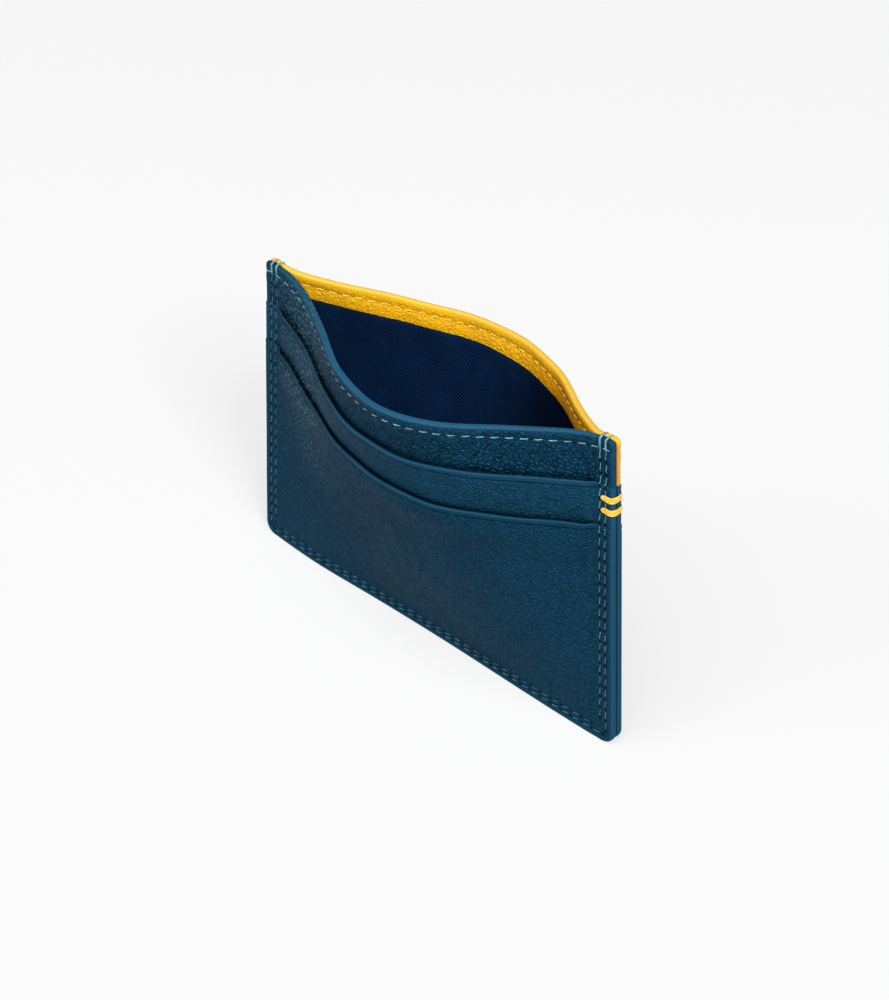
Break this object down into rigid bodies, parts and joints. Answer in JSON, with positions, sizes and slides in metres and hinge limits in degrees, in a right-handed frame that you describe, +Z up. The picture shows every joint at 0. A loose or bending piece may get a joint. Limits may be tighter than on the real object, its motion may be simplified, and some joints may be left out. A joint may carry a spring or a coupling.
{
  "type": "card holder",
  "caption": "Slim leather card holder with an open central pocket, slot pockets on both faces, a contrast back panel and a contrast stitched accent on one edge.",
  "frame": {"origin": "middle of the sewn bottom edge, in the plane where the two halves meet, at the level it stands on", "axes": "+X along the width to the edge with the accent bands, -Y out of the front half, +Z up to the open mouth"},
  "size_m": [0.0996, 0.037, 0.0705],
  "materials": {
    "blue_leather": "pebbled grain with a soft sheen",
    "yellow_leather": "pebbled grain with a soft sheen",
    "navy_lining": "fine diagonal twill",
    "slot_cloth": "thin plain weave",
    "blue_thread": "twisted sewing thread",
    "yellow_thread": "twisted sewing thread"
  },
  "bodies": {
    "root": {"front_panel": "blue_leather", "front_upper_pocket": "blue_leather", "front_lower_pocket": "blue_leather", "front_upper_slot_cloth": "slot_cloth", "front_lower_slot_cloth": "slot_cloth", "front_lining": "navy_lining", "back_panel": "yellow_leather", "back_upper_pocket": "blue_leather", "back_lower_pocket": "blue_leather", "back_upper_slot_cloth": "slot_cloth", "back_lower_slot_cloth": "slot_cloth", "back_lining": "navy_lining", "front_rim_thread": "blue_thread", "back_rim_thread": "yellow_thread", "seam_thread_outer": "blue_thread", "seam_thread_inner": "blue_thread", "left_corner_wraps": "blue_thread", "right_corner_wraps": "blue_thread", "upper_accent_band": "yellow_thread", "lower_accent_band": "yellow_thread"}
  },
  "joints": []
}
